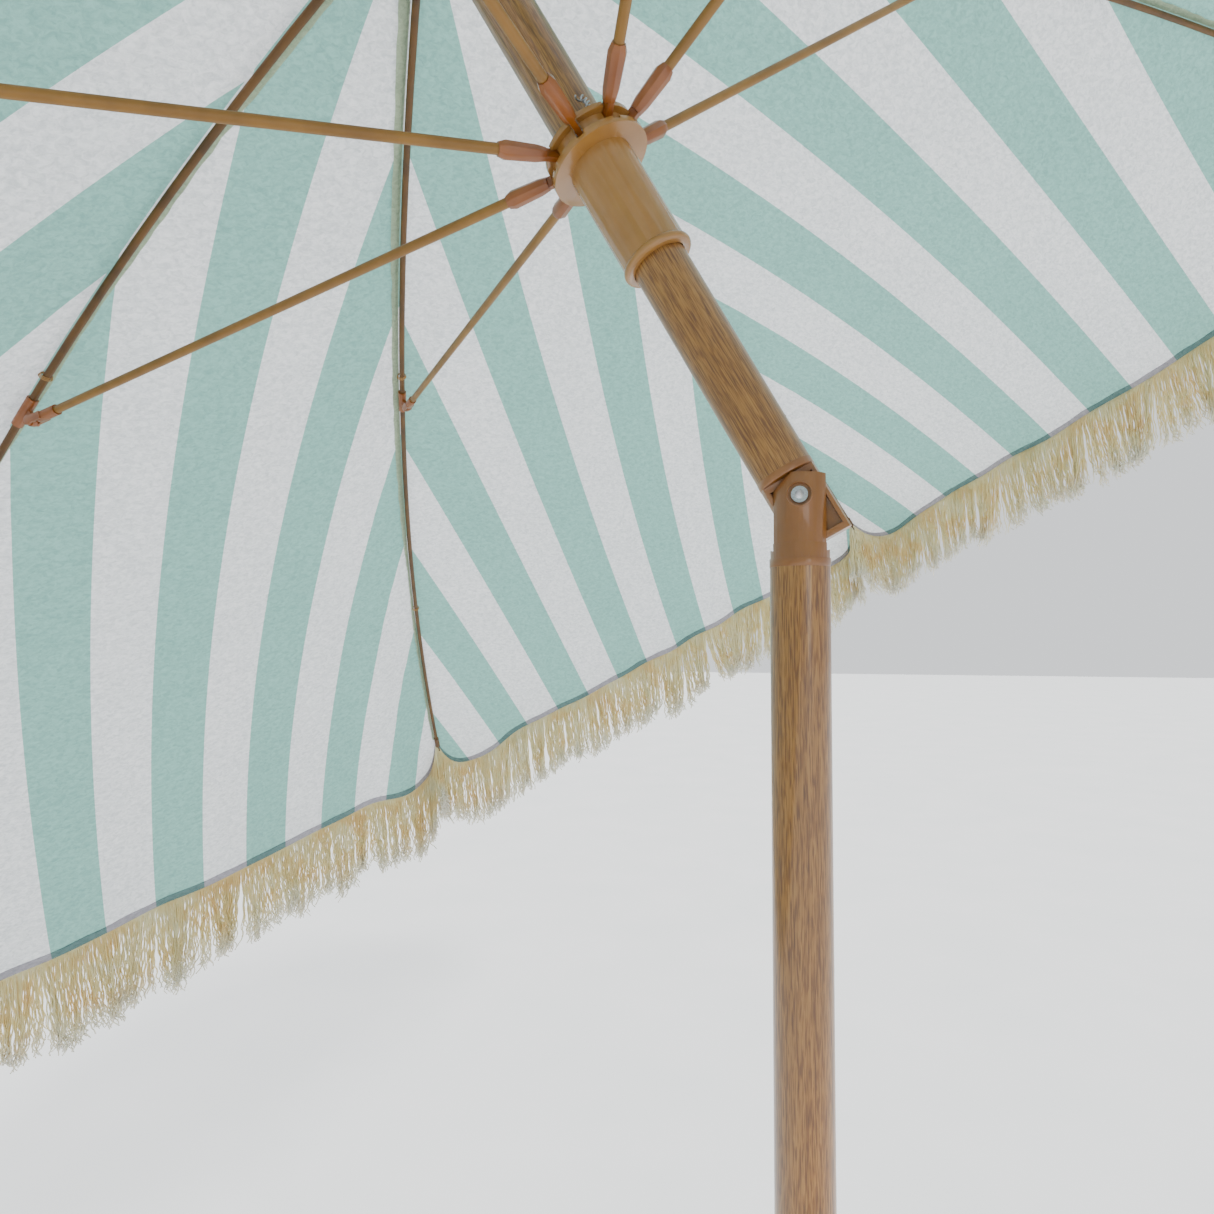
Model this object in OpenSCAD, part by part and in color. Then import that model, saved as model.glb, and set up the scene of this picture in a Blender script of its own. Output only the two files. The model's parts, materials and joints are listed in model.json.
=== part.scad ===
// Fringed beach umbrella: eight-rib tilting canopy on a two-section pole.
// Millimetres, +Z up along the lower pole, origin at the centre of the pole's foot.
// The umbrella stands open and tilted; the tilt axis runs along Y through the rivet.

/* [Pole] */
// Outer diameter of the lower and upper pole tubes
pole_d = 28; // [25:0.5:32]
// Wall thickness of the pole tubes
pole_wall = 1.2; // [0.8:0.1:2]
// Height of the tilt rivet above the foot
tilt_z = 1560; // [1300:10:1800]
// Tilt of the upper pole from vertical
rest_tilt = 29; // [0:1:30]
// Length of the ground section
ground_len = 820; // [600:10:900]

/* [Tilt joint] */
// Outer diameter of the moulded fork
fork_d = 27; // [24:0.5:31]
// Height of the fork above the rivet
fork_up = 10.3; // [8:0.1:11]
// Depth of the fork below the rivet
fork_down = 33; // [31:0.5:40]
// Thickness of the tongue that turns in the fork
tongue_t = 12; // [8:0.5:14]

/* [Runner] */
// Height of the runner's strut pivots above the rivet, along the upper pole
runner_pivot = 209; // [180:1:230]
// Length of the runner's sleeve below its strut pivots
runner_len = 71; // [60:1:100]
// Outer diameter of the runner's sleeve
runner_d = 34.5; // [33:0.5:38]
// Outer diameter of the runner's slotted flange
flange_d = 53; // [46:1:56]

/* [Frame] */
// Number of ribs
rib_n = 8; // [8:1:8]
// Turn of the first rib about the upper pole, from +X
rib_turn = 37.5; // [0:0.5:44]
// Diameter of the coated rib rods
rib_d = 5; // [4:0.5:6]
// Diameter of the coated strut rods
strut_d = 5.4; // [4:0.2:6]
// Height of the rib pivots above the rivet, along the upper pole
hub_pivot = 403.5; // [380:0.5:430]
// Radius of the arc that each rib bends to
rib_bend = 2066; // [1800:1:2400]
// Downward slope of a rib where it leaves the hub
rib_start = 3.5; // [2:0.1:5]
// Downward slope of a rib at its tip
rib_end = 33.4; // [28:0.1:36]
// Distance of the rib's strut clip from the pole axis
clip_r = 422.8; // [380:0.1:460]
// Drop of the clip's pivot below the rib's centre line
clip_drop = 9.8; // [9:0.1:12]

/* [Canopy] */
// Thickness of the fabric solid
fabric_t = 1.2; // [1:0.1:2]
// Gap between a rib's centre line and the fabric's inner face
fabric_gap = 5; // [4.8:0.1:7]
// Distance that the hem reaches past the rib tips in the middle of a panel
hem_over = 68; // [20:1:80]
// Distance that the hem reaches past a rib's tip
hem_tip = 16; // [14:1:20]
// Length of the fringe
fringe_len = 118; // [60:1:150]
// Thickness of the fringe band
fringe_t = 5; // [2:0.5:8]
// Share of the canopy's tilt that the hanging fringe makes up for
fringe_hang = 0.75; // [0:0.05:1]

/* [Hidden] */
$fn = 48;
pole_r = pole_d / 2;
bore_r = pole_r - pole_wall;
slip = 0.3;                       // clearance between round faces that slide
fit = 0.05;                       // clearance of the rivet in the tongue
rivet_r = 3;
rivet_bore_r = 2.1;
head_r = 3.8;                     // rolled head of the rivet
head_t = 1;
recess = 2.4;                     // depth of the round recess for the head
recess_r = 5.3;
boss_r = 5.9;
fork_slot = tongue_t + 0.5;
tongue_down = 23.5;
rim = 3.2;                        // edge left round the tongue's pockets
pocket = 3.5;                     // depth of a pocket
collar_low = 11.4;                // underside of the tongue's collar, above the rivet
collar_top = 15;
step = 360 / rib_n;
hub_r = 23.5;
hub_pivot_r = 17;                 // radius of the wire ring that the ribs turn on
run_pivot_r = 19;                 // radius of the wire ring that the struts turn on
wire_r = 0.8;
blade_t = 3;                      // thickness of the rib and strut end blades
slot_w = blade_t + 1.2;
eye_r = wire_r + 0.5;
arc_x = hub_pivot_r - rib_bend * sin(rib_start);     // centre of the ribs' arc
arc_z = hub_pivot - rib_bend * cos(rib_start);
clip_a = asin((clip_r - arc_x) / rib_bend);          // slope of the rib at its clip
clip_at = [clip_r - clip_drop * sin(clip_a),
           arc_z + (rib_bend - clip_drop) * cos(clip_a)];
strut_run = clip_at[0] - run_pivot_r;
strut_rise = clip_at[1] - runner_pivot;
strut_len = sqrt(strut_run * strut_run + strut_rise * strut_rise);
strut_a = atan2(strut_rise, strut_run);
pin_r = 1.2;                      // strut pin in the rib clip
tab_hole_r = 2;
tab_t = 3;
fork_gap = tab_t + 1;
fork_cheek = 2;
first_a = asin((26 - arc_x) / rib_bend);             // slope where the fabric starts
rows = 12;
cols = 8;
ground_d = 32;
coupler_d = 38;
coupler_len = 60;
coupler_low = ground_len - 40;    // lower end of the coupler
shank_len = coupler_low - 2;      // full-size length that goes into a base
seat_step = 0.6;                  // the ground section is this much smaller in the coupler
overlap_len = 90;                 // part of the lower pole inside the ground section
ground_bore_r = pole_r + 0.4;
plug_len = 30;                    // plug in the foot of the ground section

// ---- places ----

// The tilted frame of the upper pole: origin on the rivet, +Z up the pole.
module tilted() { translate([0, 0, tilt_z]) rotate([0, -rest_tilt, 0]) children(); }

// The radial plane of rib i: +X away from the pole.
module at_rib(i) { tilted() rotate([0, 0, rib_turn + step * (i - 1)]) children(); }

// A place on a rib where its downward slope is a; +X runs on along the rib.
module on_rib(a) {
    translate([arc_x + rib_bend * sin(a), 0, arc_z + rib_bend * cos(a)])
        rotate([0, a, 0]) children();
}

// A strut's own line: origin on its runner pivot, +X towards its clip.
module on_strut() {
    translate([run_pivot_r, 0, runner_pivot]) rotate([0, -strut_a, 0]) children();
}

module tube(r, inner, h) {
    difference() {
        cylinder(r = r, h = h);
        translate([0, 0, -1]) cylinder(r = inner, h = h + 2);
    }
}

module ring(major, minor) { rotate_extrude() translate([major, 0]) circle(r = minor, $fn = 24); }

module across(r, len) { rotate([90, 0, 0]) cylinder(r = r, h = len, center = true); }

module rod_x(r, x0, x1) { translate([x0, 0, 0]) rotate([0, 90, 0]) cylinder(r = r, h = x1 - x0); }

// ---- pole ----

module ground_pole() {
    color([0.62, 0.46, 0.28]) difference() {
        union() {
            cylinder(r = ground_d / 2, h = shank_len);
            cylinder(r = ground_d / 2 - seat_step, h = ground_len);
        }
        translate([0, 0, -1]) cylinder(r = ground_bore_r, h = ground_len + 2);
    }
}

module pole_foot() {
    color([0.66, 0.45, 0.26]) difference() {
        cylinder(r = ground_bore_r - fit, h = plug_len);
        translate([0, 0, 4]) cylinder(r = ground_bore_r - 3, h = plug_len);
    }
}

module pole_coupler() {
    low = coupler_low;
    color([0.66, 0.45, 0.26]) difference() {
        union() {
            translate([0, 0, low]) cylinder(r = coupler_d / 2, h = coupler_len - 8);
            translate([0, 0, low + coupler_len - 8])
                cylinder(r1 = coupler_d / 2, r2 = pole_r + 2.5, h = 8);
            for (z = [low, low + coupler_len - 12])
                translate([0, 0, z]) cylinder(r = coupler_d / 2 + 1.5, h = 4);
        }
        translate([0, 0, low - 1]) cylinder(r = ground_d / 2 - seat_step + fit, h = ground_len - low + 1);
        translate([0, 0, ground_len - 1]) cylinder(r = pole_r + fit, h = coupler_len);
    }
}

module lower_pole() {
    low = ground_len - overlap_len;
    color([0.62, 0.46, 0.28]) translate([0, 0, low])
        tube(pole_r, bore_r, tilt_z - fork_down - low);
}

// ---- tilt joint ----

module tilt_fork() {
    cheek_r = fork_d / 2;
    color([0.66, 0.44, 0.26]) translate([0, 0, tilt_z]) difference() {
        union() {
            translate([0, 0, -fork_down]) cylinder(r = pole_r + 0.2, h = 4);
            translate([0, 0, 4 - fork_down]) cylinder(r = cheek_r + 0.25, h = 7);
            translate([0, 0, 11 - fork_down]) cylinder(r = cheek_r, h = fork_up + fork_down - 11);
            translate([0, 0, -fork_down - 26]) cylinder(r = bore_r - fit, h = 27);
            across(boss_r, fork_d + 0.8);
        }
        rotate([90, 0, 0]) cylinder(r = 28.4, h = fork_slot, center = true, $fn = 96);
        across(rivet_r + fit, 2 * fork_d);
        for (side = [-1, 1])
            translate([0, side * (fork_d - recess), 0]) across(recess_r, fork_d);
        // bevel that lets the collar lean over
        translate([-3.8, 0, fork_up]) rotate([0, -45, 0])
            translate([-20, -pole_d, 0]) cube([40, 2 * pole_d, 20]);
        translate([0, 0, fork_up]) cylinder(r = pole_d, h = 20);
    }
}

module tilt_rivet() {
    color([0.8, 0.8, 0.82]) translate([0, 0, tilt_z]) difference() {
        union() {
            across(rivet_r, fork_d - 2 * recess + head_t);
            for (side = [-1, 1])
                translate([0, side * (fork_d / 2 - recess + head_t / 2 + fit), 0])
                    across(head_r, head_t);
        }
        across(rivet_bore_r, 2 * fork_d);
    }
}

module tilt_tongue() {
    color([0.66, 0.44, 0.26]) tilted() difference() {
        union() {
            translate([0, 0, collar_low]) cylinder(r = pole_r + 0.2, h = collar_top - collar_low);
            translate([0, 0, collar_top]) cylinder(r = bore_r - fit, h = 26);
            intersection() {
                translate([-pole_d, -tongue_t / 2, -tongue_down])
                    cube([2 * pole_d, tongue_t, tongue_down + collar_top]);
                translate([0, 0, -tongue_down]) cylinder(r = pole_r, h = tongue_down + collar_top);
            }
        }
        across(rivet_r + fit, 2 * pole_d);
        // weight-saving pockets on both faces, between a rim and the pivot's boss
        for (side = [-1, 1]) translate([0, side * (tongue_t / 2), 0]) difference() {
            translate([-pole_r + rim, -pocket, -tongue_down + rim])
                cube([pole_d - 2 * rim, 2 * pocket, tongue_down + collar_low - 2 * rim]);
            across(6.5, 2 * pocket + 2);
        }
    }
}

module upper_pole() {
    color([0.62, 0.46, 0.28]) tilted() translate([0, 0, collar_top])
        tube(pole_r, bore_r, hub_pivot - 9 - collar_top);
}

// ---- hub and finial ----

module hub() {
    color([0.66, 0.44, 0.26]) tilted() difference() {
        union() {
            translate([0, 0, hub_pivot - 9]) cylinder(r = hub_r, h = 13);
            translate([0, 0, hub_pivot - 34]) cylinder(r = bore_r - fit, h = 26);
        }
        for (i = [1:rib_n]) rotate([0, 0, rib_turn + step * (i - 1)])
            translate([pole_r + 0.3 - 1.2, -slot_w / 2, hub_pivot - 6])
                cube([hub_r, slot_w, 20]);
        translate([0, 0, hub_pivot]) ring(hub_pivot_r, wire_r + fit);
        translate([0, 0, hub_pivot - 20]) cylinder(r = 4 + fit, h = 40);
    }
}

module hub_wire() {
    color([0.75, 0.75, 0.75]) tilted() translate([0, 0, hub_pivot]) ring(hub_pivot_r, wire_r);
}

module finial() {
    low = hub_pivot + fabric_gap + fabric_t + 1.2;
    color([0.66, 0.44, 0.26]) tilted() {
        rotate_extrude($fn = 64) polygon([
            [0, low], [29, low], [30, low + 1.5], [29, low + 3], [14, low + 8], [9, low + 12],
            [7.5, low + 18], [8.5, low + 22], [12, low + 27], [14, low + 34], [13.2, low + 42],
            [10, low + 50], [5, low + 56], [0, low + 58]]);
        translate([0, 0, hub_pivot - 15]) cylinder(r = 4, h = low - hub_pivot + 15.5);
    }
}

// ---- runner ----

module runner() {
    low = runner_pivot - runner_len;
    color([0.70, 0.54, 0.33]) tilted() difference() {
        union() {
            translate([0, 0, low]) cylinder(r = runner_d / 2, h = runner_len);
            translate([0, 0, low + 2.4]) ring(runner_d / 2 - 0.9, 2.4);
            translate([0, 0, runner_pivot - 9]) cylinder(r = flange_d / 2, h = 3.6);
            translate([0, 0, runner_pivot - 6]) cylinder(r = 21.5, h = 11);
            translate([0, 0, runner_pivot + 2.4]) cylinder(r = flange_d / 2 - 1.5, h = 2.8);
        }
        translate([0, 0, low - 1]) cylinder(r = pole_r + slip, h = runner_len + 20);
        for (i = [1:rib_n]) rotate([0, 0, rib_turn + step * (i - 1)]) {
            translate([pole_r + 1.7, -slot_w / 2, runner_pivot - 4.6])
                cube([flange_d, slot_w, 20]);
            translate([flange_d / 2 - 2.2, -slot_w / 2, runner_pivot - 7])
                cube([flange_d, slot_w, 20]);
        }
        translate([0, 0, runner_pivot]) ring(run_pivot_r, wire_r + fit);
    }
}

module runner_wire() {
    color([0.75, 0.75, 0.75]) tilted() {
        translate([0, 0, runner_pivot]) ring(run_pivot_r, wire_r);
        // twisted ends of the wire, standing up between two struts
        rotate([0, 0, rib_turn + 5.5 * step]) translate([run_pivot_r + 3.4, 0, runner_pivot + 5.4])
            for (s = [-0.8, 0.8]) translate([0, s, 0]) rotate([0, 12, 0]) cylinder(r = 0.75, h = 11);
    }
}

// ---- ribs ----

// A coated rod bent to the rib's arc, with the flat pierced end that turns in the hub.
module rib(i) {
    rod_a = asin((34 - arc_x) / rib_bend);
    color([0.42, 0.27, 0.12]) at_rib(i) {
        translate([arc_x, 0, arc_z]) rotate([90, 0, 0]) rotate([0, 0, 90 - rib_end])
            rotate_extrude(angle = rib_end - rod_a, $fn = 720)
                translate([rib_bend, 0]) circle(r = rib_d / 2, $fn = 24);
        difference() {
            union() {
                translate([hub_pivot_r, 0, hub_pivot]) across(2.9, blade_t);
                translate([hub_pivot_r, 0, hub_pivot]) rotate([0, rib_start, 0])
                    translate([0, -blade_t / 2, -2.4]) cube([20, blade_t, 4.8]);
            }
            translate([hub_pivot_r, 0, hub_pivot]) across(eye_r, blade_t + 2);
        }
    }
}

// The strut clip on the rib, and the cap and eyelet at its tip.
module rib_fittings(i) {
    sleeve_r = rib_d / 2 + 1.3;
    color([0.66, 0.42, 0.25]) at_rib(i) {
        difference() {
            union() {
                on_rib(clip_a) rod_x(sleeve_r, -12, 12);
                on_rib(clip_a) translate([-4, -tab_t / 2, -clip_drop])
                    cube([8, tab_t, clip_drop]);
                translate([clip_at[0], 0, clip_at[1]]) across(4, tab_t);
            }
            translate([clip_at[0], 0, clip_at[1]]) across(tab_hole_r, tab_t + 2);
            on_rib(clip_a) rod_x(rib_d / 2 + 0.1, -20, 20);
        }
        on_rib(rib_end) {
            difference() {
                union() {
                    rod_x(rib_d / 2 + 1.2, -14, 4);
                    translate([4, 0, 0]) sphere(r = rib_d / 2 + 1.2, $fn = 32);
                }
                rod_x(rib_d / 2 + 0.1, -20, 0.1);
            }
            translate([11, 0, -1]) rotate([90, 0, 0]) ring(4, 0.9);
        }
    }
}

// ---- struts ----

module strut(i) {
    color([0.67, 0.51, 0.28]) at_rib(i) on_strut() rod_x(strut_d / 2, 22, strut_len - 14);
}

// An eight-sided length of the moulded socket.
module socket(x0, x1, r0, r1) {
    translate([x0, 0, 0]) rotate([0, 90, 0]) rotate([0, 0, 22.5])
        cylinder(r1 = r0, r2 = r1, h = x1 - x0, $fn = 8);
}

// The tapered socket with its pierced blade at the runner, and the pinned fork at the rib.
module strut_ends(i) {
    far = strut_len;
    color([0.72, 0.43, 0.22]) at_rib(i) on_strut() {
        difference() {
            union() {
                across(3.1, blade_t);
                translate([0, -blade_t / 2, -2.8]) cube([12, blade_t, 5.6]);
                socket(9, 14, 3.4, 4.2);
                socket(14, 30, 4.2, 4.7);
                socket(30, 33.5, 4.7, 3.5);
            }
            across(eye_r, blade_t + 2);
            rod_x(strut_d / 2 + fit, 21.9, 40);
        }
        difference() {
            union() {
                rod_x(3.7, far - 26, far - 8);
                for (side = [-1, 1]) {
                    y = side * (fork_gap + fork_cheek) / 2;
                    translate([far, y, 0]) across(3.4, fork_cheek);
                    translate([far - 13, y - fork_cheek / 2, -2.6]) cube([13, fork_cheek, 5.2]);
                }
            }
            translate([far - 7.5, -fork_gap / 2, -6]) cube([20, fork_gap, 12]);
            rod_x(strut_d / 2 + fit, far - 40, far - 13.9);
        }
        translate([far, 0, 0]) across(pin_r, fork_gap + 2 * fork_cheek);
    }
}

// ---- canopy ----

// A point of the fabric at slope a, f across (-0.5 to 0.5 of a panel), h off the rib's arc.
function skin(a, f, h) = let(
    r = arc_x + (rib_bend + h) * sin(a),
    s = abs(f),
    x = r * (1 - s + s * cos(step)),
    y = r * s * sin(step) * sign(f))
    [x, y, arc_z + (rib_bend + h) * cos(a)];

// Slope at the hem, which reaches furthest in the middle of a panel.
function hem_a(f) = rib_end + (180 / PI) / rib_bend
    * (hem_tip + (hem_over - hem_tip) * (1 - pow(1 - 2 * abs(f), 3)));

function row_a(j, f) = first_a + (hem_a(f) - first_a) * j / (rows - 1);

function across_f(i) = (i / cols - 0.5) * 0.9985;

// The fringe hangs between the canopy's axis and the plumb line.
function plumb(az) = let(t = rest_tilt * fringe_hang)
    [-sin(t) * cos(az), sin(t) * sin(az), -cos(t)];

// A closed slab from two matching grids of points, outer and inner, na by nb.
module slab(outer, inner, na, nb) {
    n = na * nb;
    idx = function(i, j) i * nb + j;
    polyhedron(points = concat(outer, inner), faces = concat(
        [for (i = [0:na - 2], j = [0:nb - 2]) each [
            [idx(i, j), idx(i + 1, j + 1), idx(i + 1, j)],
            [idx(i, j), idx(i, j + 1), idx(i + 1, j + 1)],
            [n + idx(i, j), n + idx(i + 1, j), n + idx(i + 1, j + 1)],
            [n + idx(i, j), n + idx(i + 1, j + 1), n + idx(i, j + 1)]]],
        [for (i = [0:na - 2]) each [
            [idx(i, 0), idx(i + 1, 0), n + idx(i + 1, 0)],
            [idx(i, 0), n + idx(i + 1, 0), n + idx(i, 0)],
            [idx(i + 1, nb - 1), idx(i, nb - 1), n + idx(i, nb - 1)],
            [idx(i + 1, nb - 1), n + idx(i, nb - 1), n + idx(i + 1, nb - 1)]]],
        [for (j = [0:nb - 2]) each [
            [idx(0, j + 1), idx(0, j), n + idx(0, j)],
            [idx(0, j + 1), n + idx(0, j), n + idx(0, j + 1)],
            [idx(na - 1, j), idx(na - 1, j + 1), n + idx(na - 1, j + 1)],
            [idx(na - 1, j), n + idx(na - 1, j + 1), n + idx(na - 1, j)]]]));
}

// One eighth of the canopy, from panel middle to panel middle, and its fringe below the hem.
module canopy(i) {
    az = rib_turn + step * (i - 1);
    down = plumb(az);
    lift = 0.6;
    color([0.72, 0.80, 0.76]) at_rib(i)
        slab([for (c = [0:cols], j = [0:rows - 1])
                 skin(row_a(j, across_f(c)), across_f(c), fabric_gap + fabric_t)],
             [for (c = [0:cols], j = [0:rows - 1])
                 skin(row_a(j, across_f(c)), across_f(c), fabric_gap)],
             cols + 1, rows);
    color([0.89, 0.84, 0.70]) at_rib(i)
        slab([for (c = [0:cols], k = [0, 1])
                 let(p = skin(hem_a(across_f(c)), across_f(c), fabric_gap + fabric_t))
                 p + down * (k * fringe_len) + [lift + fringe_t, 0, -lift - 1]],
             [for (c = [0:cols], k = [0, 1])
                 let(p = skin(hem_a(across_f(c)), across_f(c), fabric_gap + fabric_t))
                 p + down * (k * fringe_len) + [lift, 0, -lift - 1]],
             cols + 1, 2);
}

ground_pole();
pole_foot();
pole_coupler();
lower_pole();
tilt_fork();
tilt_rivet();
tilt_tongue();
upper_pole();
hub();
hub_wire();
finial();
runner();
runner_wire();
for (i = [1:rib_n]) {
    rib(i);
    rib_fittings(i);
    strut(i);
    strut_ends(i);
    canopy(i);
}
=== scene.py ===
"""A fringed, striped beach umbrella, open and tilted, looked at from under its canopy."""

import json
import math

import bmesh
import bpy
import numpy as np
from mathutils import Matrix, Vector

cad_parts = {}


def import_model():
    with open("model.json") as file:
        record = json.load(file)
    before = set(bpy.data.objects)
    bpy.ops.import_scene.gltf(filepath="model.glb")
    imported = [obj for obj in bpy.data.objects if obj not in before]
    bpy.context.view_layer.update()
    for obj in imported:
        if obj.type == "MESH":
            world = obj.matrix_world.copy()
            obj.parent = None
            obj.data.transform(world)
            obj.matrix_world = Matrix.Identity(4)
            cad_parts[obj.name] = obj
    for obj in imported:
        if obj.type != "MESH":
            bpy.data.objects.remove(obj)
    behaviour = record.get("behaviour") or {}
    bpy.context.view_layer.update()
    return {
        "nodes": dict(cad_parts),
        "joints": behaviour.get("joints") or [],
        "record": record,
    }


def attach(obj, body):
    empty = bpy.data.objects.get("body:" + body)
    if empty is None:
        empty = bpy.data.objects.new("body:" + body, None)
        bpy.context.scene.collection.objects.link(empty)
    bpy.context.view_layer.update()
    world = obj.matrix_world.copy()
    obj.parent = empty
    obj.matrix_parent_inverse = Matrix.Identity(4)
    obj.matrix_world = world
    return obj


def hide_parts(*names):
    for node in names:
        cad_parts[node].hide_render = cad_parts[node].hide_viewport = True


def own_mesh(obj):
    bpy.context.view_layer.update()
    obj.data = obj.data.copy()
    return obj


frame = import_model()

# ---------------------------------------------------------------- sizes, in metres

RIBS = range(1, 9)
STEP = math.radians(45)
RIB_BEND = 2.066                     # radius of the arc that each rib bends to
RIB_START, RIB_END = math.radians(3.5), math.radians(33.4)
FABRIC_UP = 0.0055                   # the sheet's height over a rib's centre line
INNER_R = 0.014                      # where the sheet ends under the finial
HEM_OVER = 0.072                     # how far the hem hangs past the tips' arc
HEM_SAG = 0.016                      # and further beside each rib
HEM_W = 0.0095
STRIPE = 0.058
SEAM_W = 0.0088                      # the seam's raw allowance, at its widest
CROWN_IN, CROWN_OUT = 0.0125, 0.030  # radii of the patch under the finial
TIE_SLOPES = (0.245, 0.43)           # where thread ties the sheet to a rib, in radians
TIE_R = 0.00035
THREAD_GAP = 0.00072                 # the fringe's threads, along the hem
THREAD_R = (0.0007, 0.00105)
HEADING_W = 0.003
FRINGE_LEN = 0.121
FRINGE_HANG = 0.75                   # share of the tilt that the fringe makes up for
FAR_FITTING = 0.8                    # fittings further from the hub are the ribs' tips
WIRE_R = 0.0005
LENS_MM = 23.4386
YAW, PITCH = 0.239, 0.033            # of the camera, in radians

joints = {j["name"]: j for j in frame["joints"]}
rivet = Vector(joints["tilt"]["pos_m"])
up_axis = Vector(joints["runner_slide"]["axis"]).normalized()
TILT = math.asin(-up_axis.x)
to_row = Matrix.Translation(rivet) @ Matrix.Rotation(-TILT, 4, "Y")
to_canopy = to_row.inverted()


def azimuth(i):
    """The turn of rib i about the upper pole."""
    p = to_canopy @ Vector(joints[f"rib_fold_{i}"]["pos_m"])
    return math.atan2(p.y, p.x)


hub = to_canopy @ Vector(joints["rib_fold_1"]["pos_m"])
HUB_R, HUB_Z = math.hypot(hub.x, hub.y), hub.z
ARC_X = HUB_R - RIB_BEND * math.sin(RIB_START)
ARC_Z = HUB_Z - RIB_BEND * math.cos(RIB_START)
pivot = to_canopy @ Vector(joints["strut_swing_1"]["pos_m"])
RUN_R, RUN_Z = math.hypot(pivot.x, pivot.y), pivot.z


# ---------------------------------------------------------------- mesh helpers

def rows(matrix, points):
    """Points moved by a matrix, as an array."""
    m = np.array(matrix, float)
    return np.asarray(points, float) @ m[:3, :3].T + m[:3, 3]


def mesh_piece(name, points, faces, material, body, uv=None, smooth=True):
    """A new mesh piece from arrays, riding on a body."""
    mesh = bpy.data.meshes.new(name)
    mesh.from_pydata([tuple(p) for p in points], [], [tuple(f) for f in faces])
    if uv is not None:
        layer = mesh.uv_layers.new(name="Cloth")
        corner = np.zeros(len(mesh.loops), np.int32)
        mesh.loops.foreach_get("vertex_index", corner)
        layer.data.foreach_set("uv", np.asarray(uv, np.float32)[corner].ravel())
    mesh.polygons.foreach_set("use_smooth", [smooth] * len(mesh.polygons))
    mesh.materials.append(material)
    obj = bpy.data.objects.new(name, mesh)
    bpy.context.scene.collection.objects.link(obj)
    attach(obj, body)
    return obj


def about_pole(x, y, z, turn):
    """Points from their coordinates, turned about the upper pole."""
    c, n = math.cos(turn), math.sin(turn)
    return np.stack([x * c - y * n, x * n + y * c, z], -1)


def grid_faces(across, along, start=0):
    """Quads of a grid stored column by column."""
    i, j = np.meshgrid(np.arange(across - 1), np.arange(along - 1), indexing="ij")
    a = (start + i * along + j).ravel()
    return np.stack([a, a + along, a + along + 1, a + 1], 1)


def band_faces(count):
    """Faces of a closed band with four corners to each section, and both its ends."""
    k = np.arange(count - 1) * 4
    sides = []
    for a in range(4):
        b = (a + 1) % 4
        sides.append(np.stack([k + a, k + b, k + 4 + b, k + 4 + a], 1))
    last = [(count - 1) * 4 + j for j in range(4)]
    return np.concatenate(sides).tolist() + [[3, 2, 1, 0], last]


def tubes(paths, radius, sides=6):
    """Closed round tubes along many paths of the same length: (n, points, 3)."""
    paths = np.asarray(paths, float)
    n, m, _ = paths.shape
    run = np.gradient(paths, axis=1)
    run /= np.maximum(np.linalg.norm(run, axis=2, keepdims=True), 1e-12)
    side = np.cross(run, np.array([0.31, 0.87, 0.39]))
    side /= np.maximum(np.linalg.norm(side, axis=2, keepdims=True), 1e-12)
    other = np.cross(run, side)
    turn = np.arange(sides) * 2 * math.pi / sides
    r = np.broadcast_to(np.asarray(radius, float), (n, m))[..., None, None]
    ring = paths[:, :, None] + r * (np.cos(turn)[:, None] * side[:, :, None]
                                    + np.sin(turn)[:, None] * other[:, :, None])
    points = ring.reshape(-1, 3)
    i, j, k = np.meshgrid(np.arange(n), np.arange(m - 1), np.arange(sides), indexing="ij")
    a = (i * m + j) * sides + k
    b = (i * m + j) * sides + (k + 1) % sides
    quads = np.stack([a, b, b + sides, a + sides], -1).reshape(-1, 4).tolist()
    first = (np.arange(n) * m * sides)[:, None] + np.arange(sides)[::-1]
    last = (np.arange(n) * m * sides + (m - 1) * sides)[:, None] + np.arange(sides)
    return points, quads + first.tolist() + last.tolist()


def polish(node, width, material, angle=28):
    """The CAD node again with softly rounded edges."""
    obj = bpy.data.objects.new(f"{node}_moulded", frame["nodes"][node].data.copy())
    bpy.context.scene.collection.objects.link(obj)
    clean = bmesh.new()
    clean.from_mesh(obj.data)
    bmesh.ops.remove_doubles(clean, verts=clean.verts, dist=1e-6)
    bmesh.ops.dissolve_limit(clean, angle_limit=math.radians(1), verts=clean.verts,
                             edges=clean.edges)
    clean.to_mesh(obj.data)
    clean.free()
    obj.data.materials.clear()
    obj.data.materials.append(material)
    bevel = obj.modifiers.new("round", "BEVEL")
    bevel.width = width
    bevel.segments = 2
    bevel.limit_method = "ANGLE"
    bevel.angle_limit = math.radians(angle)
    bevel.harden_normals = True
    obj.data.polygons.foreach_set("use_smooth", [True] * len(obj.data.polygons))
    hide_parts(node)
    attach(obj, body_of[node])
    return obj


body_of = {n: b for b, ns in frame["record"]["behaviour"]["bodies"].items() for n in ns}
slot_of = {s["node"]: s["material_slot"] for s in frame["record"]["subparts"]}


# ---------------------------------------------------------------- materials

def srgb(r, g, b):
    """A colour given as 0 to 255 on screen, as the shader's linear colour."""
    return tuple((c / 255 / 12.92 if c <= 10 else ((c / 255 + 0.055) / 1.055) ** 2.4)
                 for c in (r, g, b)) + (1.0,)


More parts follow.
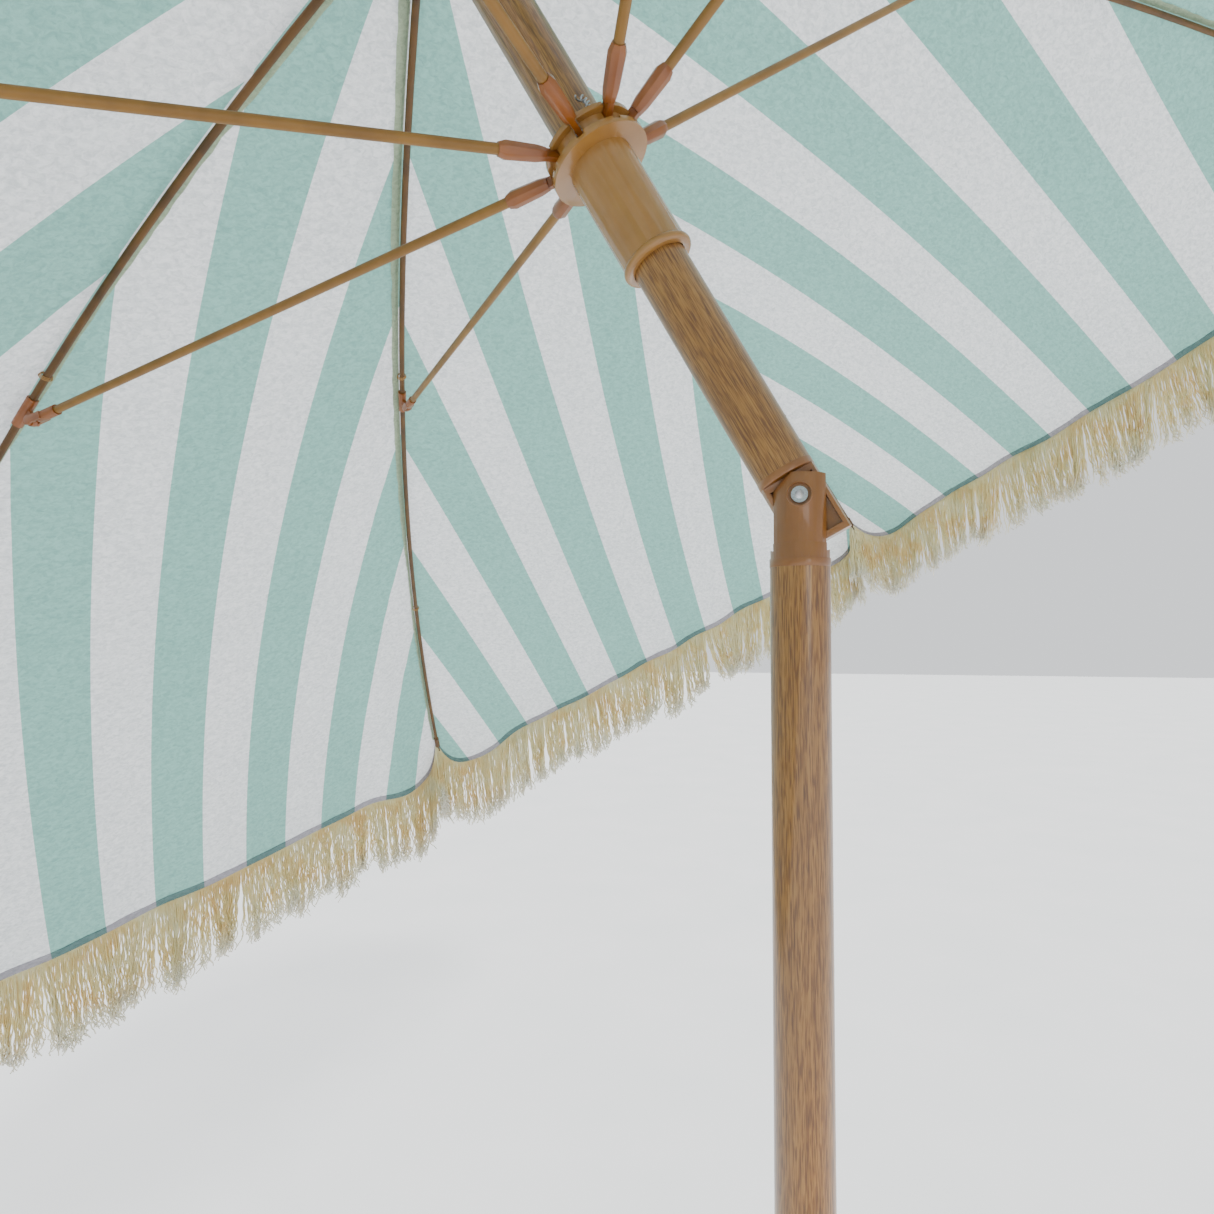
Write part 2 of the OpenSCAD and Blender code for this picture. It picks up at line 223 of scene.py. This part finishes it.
class Surface:
    """A node material with one Principled shader, built a step at a time."""

    def __init__(self, name, colour, roughness=0.5, **fixed):
        self.material = bpy.data.materials.new(name)
        self.material.use_nodes = True
        self.nodes = self.material.node_tree.nodes
        self.links = self.material.node_tree.links
        self.shader = self.nodes["Principled BSDF"]
        self.shader.inputs["Base Color"].default_value = colour
        self.shader.inputs["Roughness"].default_value = roughness
        for key, value in fixed.items():
            self.shader.inputs[key.replace("_", " ")].default_value = value

    def add(self, kind, inputs=None, **settings):
        node = self.nodes.new(kind)
        for key, value in settings.items():
            setattr(node, key, value)
        for key, value in (inputs or {}).items():
            if isinstance(value, bpy.types.NodeSocket):
                self.links.new(value, node.inputs[key])
            else:
                node.inputs[key].default_value = value
        return node

    def coords(self, turn=(0, 0, 0), scale=(1, 1, 1)):
        """Object coordinates, turned and stretched."""
        place = self.add("ShaderNodeTexCoord").outputs["Object"]
        turned = self.add("ShaderNodeMapping", {"Vector": place, "Rotation": turn})
        return self.add("ShaderNodeMapping", {"Vector": turned.outputs[0], "Scale": scale}).outputs[0]

    def noise(self, place, scale, detail=3.0, rough=0.55, distortion=0.0):
        return self.add("ShaderNodeTexNoise", {"Vector": place, "Scale": scale, "Detail": detail,
                                               "Roughness": rough, "Distortion": distortion}
                        ).outputs[0]

    def ramp(self, value, stops):
        node = self.add("ShaderNodeValToRGB", {"Fac": value})
        ramp = node.color_ramp
        while len(ramp.elements) < len(stops):
            ramp.elements.new(0.5)
        for element, (at, colour) in zip(ramp.elements, stops):
            element.position = at
            element.color = colour
        return node.outputs[0]

    def mix(self, share, a, b, blend="MIX"):
        node = self.nodes.new("ShaderNodeMix")
        node.data_type = "RGBA"
        node.blend_type = blend
        for key, value in ((0, share), (6, a), (7, b)):
            if isinstance(value, bpy.types.NodeSocket):
                self.links.new(value, node.inputs[key])
            else:
                node.inputs[key].default_value = value
        return node.outputs[2]

    def range(self, value, low, high):
        return self.add("ShaderNodeMapRange", {"Value": value, "To Min": low, "To Max": high}
                        ).outputs[0]

    def colour(self, socket):
        self.links.new(socket, self.shader.inputs["Base Color"])

    def rough(self, socket):
        self.links.new(socket, self.shader.inputs["Roughness"])

    def bump(self, height, strength, distance, over=None):
        node = self.add("ShaderNodeBump", {"Height": height, "Strength": strength,
                                           "Distance": distance})
        if over:
            self.links.new(over, node.inputs["Normal"])
        self.links.new(node.outputs[0], self.shader.inputs["Normal"])
        return node.outputs[0]


def wood_print(name, turn):
    """Printed wood-grain film with long dark pores, under a thin gloss."""
    s = Surface(name, srgb(160, 116, 66), 0.36, Coat_Weight=0.4, Coat_Roughness=0.07)
    fine = s.noise(s.coords((0, turn, 0), (1, 1, 0.045)), 1800, 2.0, 0.55, 0.3)
    wide = s.noise(s.coords((0, turn, 0), (1, 1, 0.03)), 620, 3.0, 0.6, 0.4)
    broad = s.noise(s.coords((0, turn, 0), (1, 1, 0.25)), 40, 2.0, 0.5)
    base = s.ramp(wide, [(0.34, srgb(124, 82, 30)), (0.5, srgb(140, 96, 40)),
                         (0.68, srgb(150, 106, 48))])
    pores = s.ramp(fine, [(0.36, srgb(140, 112, 74)), (0.48, srgb(210, 188, 154)),
                          (0.54, (1, 1, 1, 1))])
    toned = s.mix(0.85, base, pores, "MULTIPLY")
    s.colour(s.mix(s.range(broad, 0.0, 0.1), toned, srgb(120, 80, 36)))
    s.rough(s.range(fine, 0.42, 0.3))
    s.bump(fine, 0.2, 0.0003)
    return s.material


def moulded(name, colour, dark, roughness=0.34, far=None):
    """Semi-gloss moulded plastic, faintly clouded; it may turn another colour far from the hub."""
    s = Surface(name, srgb(*colour), roughness, Coat_Weight=0.3, Coat_Roughness=0.07)
    place = s.coords()
    cloud = s.noise(place, 60, 3.0)
    tone = s.ramp(cloud, [(0.3, srgb(*dark)), (0.65, srgb(*colour))])
    if far:
        away = s.add("ShaderNodeVectorMath", {0: place, 1: to_row @ Vector((0, 0, HUB_Z))},
                     operation="DISTANCE").outputs["Value"]
        beyond = s.add("ShaderNodeMath", {0: away, 1: FAR_FITTING}, operation="GREATER_THAN")
        tone = s.mix(beyond.outputs[0], tone, srgb(*far))
    s.colour(tone)
    fine = s.noise(place, 1400, 2.0)
    s.rough(s.range(cloud, roughness + 0.06, roughness - 0.06))
    s.bump(fine, 0.08, 0.0002)
    return s.material


def coated(name, colour, dark, roughness=0.42):
    """Powder-coated rod with slight orange peel."""
    s = Surface(name, srgb(*colour), roughness, Specular_IOR_Level=0.45)
    place = s.coords()
    cloud = s.noise(place, 38, 4.0)
    s.colour(s.ramp(cloud, [(0.32, srgb(*dark)), (0.62, srgb(*colour))]))
    peel = s.noise(place, 900, 2.0)
    s.rough(s.range(cloud, roughness + 0.08, roughness - 0.05))
    s.bump(peel, 0.15, 0.0002)
    return s.material


def zinc():
    """Zinc-plated steel, brushed a little dull."""
    s = Surface("zinc", srgb(186, 188, 192), 0.28, Metallic=1.0)
    scratch = s.noise(s.coords((0, 0, 0), (1, 1, 4)), 900, 3.0)
    s.rough(s.range(scratch, 0.22, 0.4))
    s.colour(s.ramp(scratch, [(0.3, srgb(140, 142, 147)), (0.7, srgb(196, 198, 202))]))
    return s.material


MINT, WHITE = srgb(142, 192, 181), srgb(238, 238, 239)


def cloth(name, tint=None, see_through=0.42, shade=None):
    """Matt crinkled polyester, striped or plain, with painted shade in the crepe's puckers and, when
    asked, a painted shade multiplied over it; light comes through it from behind.
    """
    s = Surface(name, WHITE, 0.82, Sheen_Weight=0.15, Specular_IOR_Level=0.2)
    place = s.coords()
    if tint is None:
        uv = s.add("ShaderNodeUVMap", uv_map="Cloth").outputs[0]
        across = s.add("ShaderNodeSeparateXYZ", {0: uv}).outputs[0]
        band = s.add("ShaderNodeMath", {0: across, 1: 2 * STRIPE}, operation="DIVIDE").outputs[0]
        saw = s.add("ShaderNodeMath", {0: band}, operation="FRACT").outputs[0]
        mint = s.add("ShaderNodeMath", {0: saw, 1: 0.5}, operation="GREATER_THAN").outputs[0]
        plain = s.mix(mint, WHITE, MINT)
        # Painted shade: the colour multiplied darker, for cloth that lies double against the light.
        if shade:
            plain = s.mix(1.0, plain, shade, "MULTIPLY")
    else:
        plain = tint
    crepe = s.noise(s.coords((0, 0, 0.6), (1, 0.55, 0.8)), 300, 4.0, 0.66, 0.8)
    crease = s.noise(s.coords((0.4, 0.5, 0.3), (1, 0.25, 0.5)), 22, 2.0, 0.5, 1.6)
    cloud = s.noise(place, 9, 3.0)
    mottled = s.mix(s.range(cloud, 0.0, 0.22), plain, srgb(186, 202, 206), "MULTIPLY")
    # Painted shade: the crepe's puckers darkened in their hollows, by the same noise that bumps them.
    pucker = s.ramp(crepe, [(0.34, srgb(206, 211, 213)), (0.62, (1, 1, 1, 1))])
    mottle_and_pucker_shade = s.mix(0.75, mottled, pucker, "MULTIPLY")
    s.colour(mottle_and_pucker_shade)
    folds = s.add("ShaderNodeBump", {"Height": crease, "Strength": 0.5, "Distance": 0.006})
    normal = s.bump(crepe, 0.7, 0.0015, folds.outputs[0])
    glow = s.add("ShaderNodeBsdfTranslucent", {"Color": mottle_and_pucker_shade, "Normal": normal})
    both = s.add("ShaderNodeMixShader", {0: see_through, 1: s.shader.outputs[0],
                                         2: glow.outputs[0]})
    s.links.new(both.outputs[0], s.nodes["Material Output"].inputs["Surface"])
    return s.material


def cotton():
    """Undyed cotton threads, with a painted highlight on their lower ends."""
    s = Surface("cotton", srgb(252, 244, 218), 0.9, Sheen_Weight=0.1)
    place = s.coords()
    patch = s.noise(place, 26, 2.0)
    base = s.ramp(patch, [(0.36, srgb(254, 232, 170)), (0.5, srgb(255, 243, 192)),
                          (0.66, srgb(255, 248, 212))])
    uv = s.add("ShaderNodeSeparateXYZ", {0: s.add("ShaderNodeUVMap", uv_map="Cloth").outputs[0]})
    tone = s.ramp(uv.outputs[0], [(0.0, srgb(248, 240, 220)), (0.4, srgb(254, 252, 248)),
                                  (1.0, (1, 1, 1, 1))])
    mixed = s.mix(0.8, base, tone, "MULTIPLY")
    # Painted highlight: the threads' lower ends mixed paler, for the light they catch below the hem.
    pale = s.ramp(uv.outputs[1], [(0.6, (0, 0, 0, 1)), (0.98, (1, 1, 1, 1))])
    cotton_with_lit_ends = s.mix(pale, mixed, srgb(252, 248, 236))
    s.colour(cotton_with_lit_ends)
    normal = s.bump(s.noise(place, 1800, 2.0), 0.4, 0.0004)
    glow = s.add("ShaderNodeBsdfTranslucent", {"Color": cotton_with_lit_ends, "Normal": normal})
    both = s.add("ShaderNodeMixShader", {0: 0.35, 1: s.shader.outputs[0], 2: glow.outputs[0]})
    s.links.new(both.outputs[0], s.nodes["Material Output"].inputs["Surface"])
    return s.material


wood_low = wood_print("wood_upright", 0.0)
wood_up = wood_print("wood_tilted", TILT)
caramel = moulded("caramel", (128, 80, 33), (117, 71, 28))
tan = moulded("tan", (146, 102, 48), (138, 95, 43), 0.24)
terracotta = moulded("terracotta", (134, 72, 12), (118, 60, 8), 0.4)
fitting = moulded("fitting", (134, 72, 12), (118, 60, 8), 0.42, far=(84, 52, 12))
ochre = coated("ochre", (132, 92, 33), (112, 76, 26))
brown = coated("brown", (94, 60, 8), (68, 42, 5))
steel = zinc()
striped = cloth("striped_cloth")
# Painted shade: the hem multiplied grey, for its double fold held against the light behind it.
hem_cloth_shaded = cloth("hem_cloth_shaded", see_through=0.12, shade=srgb(192, 186, 196))
# Painted shade: the striped fabric where it lies double, given one flat darker grey-green in place of
# its stripes.
painted_shade_cloth = cloth("painted_shade_cloth", tint=srgb(176, 190, 160), see_through=0.2)
thread = coated("thread", (170, 130, 80), (140, 104, 60), 0.8)
ecru = cotton()

by_slot = {"wood_print": wood_low, "caramel_plastic": caramel, "tan_plastic": tan,
           "terracotta_plastic": terracotta, "ochre_coating": ochre, "brown_coating": brown,
           "zinc_steel": steel, "canopy_fabric": striped}
for node, obj in frame["nodes"].items():
    obj.data.materials.clear()
    obj.data.materials.append(wood_up if node == "upper_pole" else by_slot[slot_of[node]])


# ---------------------------------------------------------------- canopy

def hem_slope(share):
    """The slope angle at the hem, at a share of 0 (on a rib) to 0.5 (mid panel)."""
    s = np.abs(share)
    rise = 1 - np.exp(-s / 0.018)
    sag = np.exp(-((s - 0.07) / 0.07) ** 2) * rise
    return RIB_END + (HEM_OVER * rise + HEM_SAG * sag) / RIB_BEND


def skin(i, slope, share, up=0.0):
    """Points of the sheet around rib i, in the row frame, wrinkles included."""
    az = azimuth(i)
    r = ARC_X + (RIB_BEND + FABRIC_UP + up) * np.sin(slope)
    z = ARC_Z + (RIB_BEND + FABRIC_UP + up) * np.cos(slope)
    s = np.abs(share)
    x = r * (1 - s + s * math.cos(STEP))
    y = r * s * math.sin(STEP) * np.sign(share)
    turn = az + STEP * share          # runs on smoothly from wedge to wedge
    along = (slope - RIB_START) / (RIB_END - RIB_START)
    mid = np.sin(math.pi * s)         # 0 on the rib and 1 mid panel
    near_rib = np.exp(-s / 0.05)
    out = -0.006 * mid * along
    out = out + 0.0024 * along * mid * wrinkle(turn, 7.0 * along, 11, 9.0, 24.0)
    out = out + 0.0016 * along ** 4 * wrinkle(turn, 3.0 * along, 12, 30.0, 80.0) * (1 - near_rib)
    pucker = np.sin(math.pi * np.clip(s / 0.12, 0, 1)) * np.sin(
        95 * along + 2.5 * np.sin(13 * along + i) + 30 * s)
    out = out + 0.0007 * along * pucker
    lean = STEP * share               # the displacement's own turn within the wedge
    p = about_pole(x + out * np.sin(slope) * np.cos(lean),
                   y + out * np.sin(slope) * np.sin(lean), z + out * np.cos(slope), az)
    return rows(to_row, p.reshape(-1, 3)).reshape(p.shape)


def wrinkle(turn, along, seed, low, high):
    """Wrinkles that close on themselves round the canopy."""
    r = np.random.default_rng(seed)
    out = 0
    for _ in range(9):
        k = round(r.uniform(low, high))
        out = out + np.sin(k * turn + r.uniform(0.5, 1.6) * along + r.uniform(0, 2 * math.pi))
    return out / 3


# How each panel was cut: the colour on its centre line, and how far its stripes are off centre.
MINT_FIRST = {1: 1, 2: 0, 3: 0, 4: 0, 5: 1, 6: 0, 7: 1, 8: 0}
SHIFT = {1: -0.022, 2: -0.020, 3: 0.012, 4: 0.004, 5: -0.008, 6: 0.01, 7: -0.012, 8: 0.006}


def cloth_uv(i, slope, share, side):
    """Across the panel's stripes and along them, in metres."""
    panel = i if side > 0 else (i - 2) % 8 + 1
    r = ARC_X + RIB_BEND * np.sin(slope)
    chord = 2 * r * math.sin(STEP / 2)
    u = (0.5 - np.abs(share)) * chord * side
    return np.stack([u - SHIFT[panel] * np.sin(slope) / math.sin(RIB_END)
                     + STRIPE * (MINT_FIRST[panel] + 40), slope * RIB_BEND], -1)


def wedge(i):
    """The sheet from mid panel to mid panel round rib i, with the seam on the rib."""
    across, along = 40, 84
    points, faces, uvs = [], [], []
    start = math.asin((INNER_R - ARC_X) / RIB_BEND)
    for side in (-1, 1):
        share = side * 0.5 * (np.linspace(0, 1, across) ** 1.5)
        t = np.linspace(0, 1, along)
        slope = start + (hem_slope(share)[:, None] - start) * t
        s2 = np.broadcast_to(share[:, None], slope.shape)
        p = skin(i, slope, s2)
        uvs.append(cloth_uv(i, slope, s2, side).reshape(-1, 2))
        f = grid_faces(across, along, start=across * along * (side > 0))
        faces.append(f if side < 0 else f[:, ::-1])
        points.append(p.reshape(-1, 3))
    return mesh_piece(f"canopy_sheet_{i}", np.concatenate(points), np.concatenate(faces), striped,
                      f"rib_body_{i}", np.concatenate(uvs))


def hem(i):
    """The folded hem: a flat closed band round the sheet's edge."""
    half = 0.5 * np.linspace(0, 1, 81) ** 1.5
    share = np.concatenate([-half[::-1], half[1:]])
    top = hem_slope(share) - HEM_W / RIB_BEND
    low = hem_slope(share) + 0.0008 / RIB_BEND
    fold = 0.0006 * wrinkle(azimuth(i) + STEP * share, 0.0, 15, 60.0, 160.0) / RIB_BEND
    ring, uv = [], []
    for slope, up in ((top + fold, 0.0007), (low, 0.0010), (low, -0.0012), (top + fold, -0.0009)):
        ring.append(skin(i, slope, share, up))
        left, right = (cloth_uv(i, slope, share, side) for side in (-1, 1))
        uv.append(np.where(share[:, None] > 0, right, left))
    ring, uv = np.stack(ring, 1), np.stack(uv, 1)
    return mesh_piece(f"hem_{i}", ring.reshape(-1, 3), band_faces(len(share)), hem_cloth_shaded,
                      f"rib_body_{i}", uv.reshape(-1, 2), smooth=False)


def seam(i):
    """The sewn seam's raw allowance, lying over beside the rib."""
    n = 190
    slope = np.linspace(RIB_START + 0.012, RIB_END - 0.004, n)
    share = np.full(n, 1e-6)
    side = 1 if i in (3, 5, 8, 2) else -1
    top, over = skin(i, slope, share), skin(i, slope, share, 0.01)
    out = (over - top) / np.linalg.norm(over - top, axis=1, keepdims=True)
    run = np.gradient(top, axis=0)
    run /= np.linalg.norm(run, axis=1, keepdims=True)
    across = side * np.cross(out, run)
    t = np.linspace(0, 1, n)
    wide = SEAM_W * (1 - 0.55 * t) + 0.0007 * wrinkle(0.0, 30 * t, 40 + i, 0, 1)
    rag = 0.0004 * wrinkle(0.0, 240 * t, 60 + i, 0, 1)
    roll = 0.5 + 0.3 * wrinkle(0.0, 9 * t, 80 + i, 0, 1)
    columns = []
    for depth in np.linspace(0, 1, 7):
        reach = depth * wide + depth ** 3 * rag
        lean = roll * (1 - 0.5 * depth)
        columns.append(top - out * (0.0006 + reach * np.sin(lean))[:, None]
                       + across * (0.0012 + reach * np.cos(lean))[:, None])
    grid = np.stack(columns, 0)
    return mesh_piece(f"seam_allowance_{i}", grid.reshape(-1, 3), grid_faces(7, n), painted_shade_cloth,
                      f"rib_body_{i}")


def plumb():
    """The way the fringe hangs: most of the way from the canopy's axis to straight down."""
    lean = TILT * (1 - FRINGE_HANG)
    return np.array([math.sin(lean), 0, -math.cos(lean)])


def fringe(i):
    """Crimped cotton threads in wide, curly-ended clumps, sewn on under the hem."""
    r = np.random.default_rng(500 + i)
    down = plumb()
    share = np.linspace(-0.5, 0.5, 400)
    edge = skin(i, hem_slope(share), share)
    length = np.concatenate([[0], np.cumsum(np.linalg.norm(np.diff(edge, axis=0), axis=1))])
    count = int(length[-1] / THREAD_GAP)
    at = (np.arange(count) + r.uniform(0.0, 1.0, count)) / count * length[-1]
    root = np.stack([np.interp(at, length, edge[:, k]) for k in range(3)], 1)
    along = np.gradient(edge, axis=0)
    run = np.stack([np.interp(at, length, along[:, k]) for k in range(3)], 1)
    run /= np.linalg.norm(run, axis=1, keepdims=True)
    out = np.cross(run, down)
    out /= np.linalg.norm(out, axis=1, keepdims=True)

    cuts = np.cumsum(r.uniform(0.018, 0.044, 80))
    clump = np.searchsorted(cuts, at)
    low = np.concatenate([[0], cuts])[clump]
    half = (cuts[clump] - low) / 2
    offset = (at - low - half) / half
    strand = np.searchsorted(np.cumsum(r.uniform(0.004, 0.011, 400)), at)
    drop = r.uniform(0.86, 1.0, 81)[clump]
    drop = drop * (1 - 0.1 * np.abs(offset) ** 4) * r.uniform(0.94, 1.0, count)
    long = FRINGE_LEN * drop * r.uniform(0.93, 1.0, 401)[strand]
    sway = 0.06 * r.standard_normal(81)[clump] + 0.05 * r.standard_normal(401)[strand] \
        + 0.03 * r.standard_normal(count)
    lift = 0.05 * r.standard_normal(81)[clump] + 0.04 * r.standard_normal(401)[strand]
    layer = r.uniform(-0.003, 0.003, count)

    m = 25
    t = np.linspace(0, 1, m)
    late = np.clip((t - 0.72) / 0.28, 0, 1) ** 1.5
    gather = -(offset * half)[:, None] * 0.1 * np.sin(t * math.pi / 2) ** 2
    wave = r.uniform(26, 40, (count, 1)) * t * drop[:, None] + r.uniform(0, 6.3, (count, 1))
    slow = r.uniform(5, 12, (count, 1)) * t + r.uniform(0, 6.3, (count, 1))
    crimp = (0.0003 + 0.0007 * t + 0.0014 * late) * np.clip(t * 8, 0, 1)
    side = gather + crimp * np.sin(wave) + 0.0024 * t * np.sin(slow) \
        + long[:, None] * t ** 1.4 * sway[:, None]
    depth = crimp * np.cos(wave + 0.8) + 0.0018 * t * np.cos(slow) \
        + long[:, None] * t ** 1.4 * lift[:, None] + layer[:, None] * np.clip(t * 5, 0, 1)
    curl = r.uniform(-0.006, 0.006, (count, 1)) * late
    fall = long[:, None] * (t - 0.07 * late * r.uniform(0, 1.6, (count, 1)))
    paths = root[:, None] + (side + curl)[..., None] * run[:, None] \
        + depth[..., None] * out[:, None] + fall[..., None] * down
    radius = r.uniform(*THREAD_R, (count, 1)) * (1 - 0.15 * t)
    points, faces = tubes(paths, radius, 3)
    tone = np.broadcast_to(r.uniform(0, 1, (count, 1, 1)), (count, m, 3))
    share_down = np.broadcast_to(t[None, :, None], (count, m, 3))
    return mesh_piece(f"fringe_threads_{i}", points, faces, ecru, f"rib_body_{i}",
                      np.stack([tone.ravel(), share_down.ravel()], 1))


def fringe_head(i):
    """The woven heading that the fringe hangs from."""
    n = 160
    share = np.linspace(-0.5, 0.5, n)
    edge = skin(i, hem_slope(share) + 0.0003 / RIB_BEND, share)
    down = plumb()
    run = np.gradient(edge, axis=0)
    out = np.cross(run, down)
    out /= np.linalg.norm(out, axis=1, keepdims=True)
    rings = []
    for fall, depth in ((0.0, -0.0006), (HEADING_W, -0.0008), (HEADING_W, 0.0008), (0.0, 0.0006)):
        rings.append(edge + down * fall + out * depth)
    ring = np.stack(rings, 1)
    return mesh_piece(f"fringe_heading_{i}", ring.reshape(-1, 3), band_faces(n), ecru,
                      f"rib_body_{i}", np.full((4 * n, 2), 0.35), smooth=False)


def ties(i):
    """Thread loops that hold the fabric to the rib."""
    paths = []
    for slope in TIE_SLOPES:
        for turn in range(3):
            t = np.linspace(0, 2 * math.pi, 15)
            rad = 0.0036 + 0.0003 * turn
            lx = (turn - 1) * 0.0009 + 0.0006 * np.sin(t)
            x = ARC_X + RIB_BEND * math.sin(slope)
            z = ARC_Z + RIB_BEND * math.cos(slope)
            e = rad * np.cos(t) + 0.0008
            px = x + e * math.sin(slope) + lx * math.cos(slope)
            pz = z + e * math.cos(slope) - lx * math.sin(slope)
            paths.append(rows(to_row, about_pole(px, rad * np.sin(t), pz, azimuth(i))))
    points, faces = tubes(paths, TIE_R, 5)
    return mesh_piece(f"thread_ties_{i}", points, faces, thread, f"rib_body_{i}")


for i in RIBS:
    sheet = wedge(i)
    trims = [hem(i), fringe(i), fringe_head(i)]
    seam(i)
    ties(i)
    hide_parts(f"canopy_{i}")
    for piece in [sheet] + trims:
        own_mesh(piece)


def crown():
    """The middle of the canopy, gathered round the hub under the finial."""
    n, m = 96, 6
    ring = []
    for k in range(m):
        r = CROWN_IN + (CROWN_OUT - CROWN_IN) * k / (m - 1)
        slope = math.asin((r - ARC_X) / RIB_BEND)
        a = np.arange(n) * 2 * math.pi / n
        ripple = 0.0004 * np.sin(8 * a + k)
        z = ARC_Z + (RIB_BEND + FABRIC_UP + 0.0009) * math.cos(slope) + ripple
        ring.append(np.stack([r * np.cos(a), r * np.sin(a), z], 1))
    points = rows(to_row, np.concatenate(ring))
    faces = []
    for k in range(m - 1):
        for j in range(n):
            left, right = k * n + j, k * n + (j + 1) % n
            faces.append([left, left + n, right + n, right])
    return mesh_piece("crown_patch", points, faces, painted_shade_cloth, "upper")


crown()

# ---------------------------------------------------------------- moulded parts

for node in ("tilt_fork", "tilt_tongue", "hub", "pole_coupler"):
    polish(node, 0.0005, caramel)
polish("runner", 0.0005, tan)
for i in RIBS:
    polish(f"rib_fittings_{i}", 0.00035, fitting)
    polish(f"strut_ends_{i}", 0.0005, terracotta, 20)


def twisted_wire():
    """The runner's wire ring and its two ends twisted together."""
    a = np.linspace(0, 2 * math.pi, 73)
    ring = np.stack([RUN_R * np.cos(a), RUN_R * np.sin(a), np.full(73, RUN_Z)], 1)
    stand = azimuth(6) + STEP / 2
    t = np.linspace(0, 1, 73)
    strands = [ring]
    for s in (0, math.pi):
        swing = 0.0008 * np.clip(t * 5, 0, 1) * (1 + 1.5 * t ** 4)
        x = RUN_R - 0.0005 + 0.0025 * t + 0.001 * np.sin(5 * t) + swing * np.cos(15 * t + s)
        y = 0.0028 * np.sin(3 * t) + swing * np.sin(15 * t + s)
        z = RUN_Z + 0.0055 + 0.0105 * t
        strands.append(about_pole(x, y, z, stand))
    points, faces = tubes([rows(to_row, p) for p in strands], WIRE_R, 8)
    wire = mesh_piece("runner_wire_twisted", points, faces, steel, "runner_body")
    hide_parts("runner_wire")


twisted_wire()

# ---------------------------------------------------------------- stage, light and camera

def floor():
    """A plain pale floor, just under the pole's foot."""
    bpy.ops.mesh.primitive_plane_add(size=60, location=(0, 0, -0.001))
    plane = bpy.context.object
    plane.name = "floor"
    s = Surface("floor_paint", srgb(226, 228, 228), 0.95)
    s.colour(s.ramp(s.noise(s.coords(), 2, 2.0), [(0.3, srgb(224, 226, 226)),
                                                  (0.7, srgb(229, 230, 230))]))
    plane.data.materials.append(s.material)


def light(name, kind, place, power, **settings):
    """A lamp that looks at the tilt joint's rivet, from a place given from there."""
    lamp = bpy.data.lights.new(name, kind)
    lamp.energy = power
    for key, value in settings.items():
        setattr(lamp, key, value)
    obj = bpy.data.objects.new(name, lamp)
    bpy.context.scene.collection.objects.link(obj)
    obj.location = rivet + Vector(place)
    obj.rotation_euler = (rivet - obj.location).to_track_quat("-Z", "Y").to_euler()


def world():
    """Even, cool daylight from all round."""
    w = bpy.data.worlds.new("studio")
    w.use_nodes = True
    w.node_tree.nodes["Background"].inputs[0].default_value = (0.94, 0.97, 1.0, 1)
    w.node_tree.nodes["Background"].inputs[1].default_value = 1.15
    bpy.context.scene.world = w


floor()
world()
light("key", "SUN", (2.4, -2.6, 2.0), 1.9, angle=0.07, color=(1, 0.985, 0.95))
light("through_cloth", "SUN", (-0.6, 1.2, 3.0), 3.6, angle=0.5)
light("softbox", "AREA", (1.4, -2.2, 0.3), 7, shape="DISK", size=1.0)

cam = bpy.data.cameras.new("view")
cam.sensor_width = 36
cam.lens = LENS_MM
cam.clip_start = 0.02
camera = bpy.data.objects.new("view", cam)
bpy.context.scene.collection.objects.link(camera)
camera.location = rivet + Vector((-0.0004, -0.3849, -0.0640))
camera.rotation_euler = (math.pi / 2 + PITCH, 0, YAW)
bpy.context.scene.camera = camera
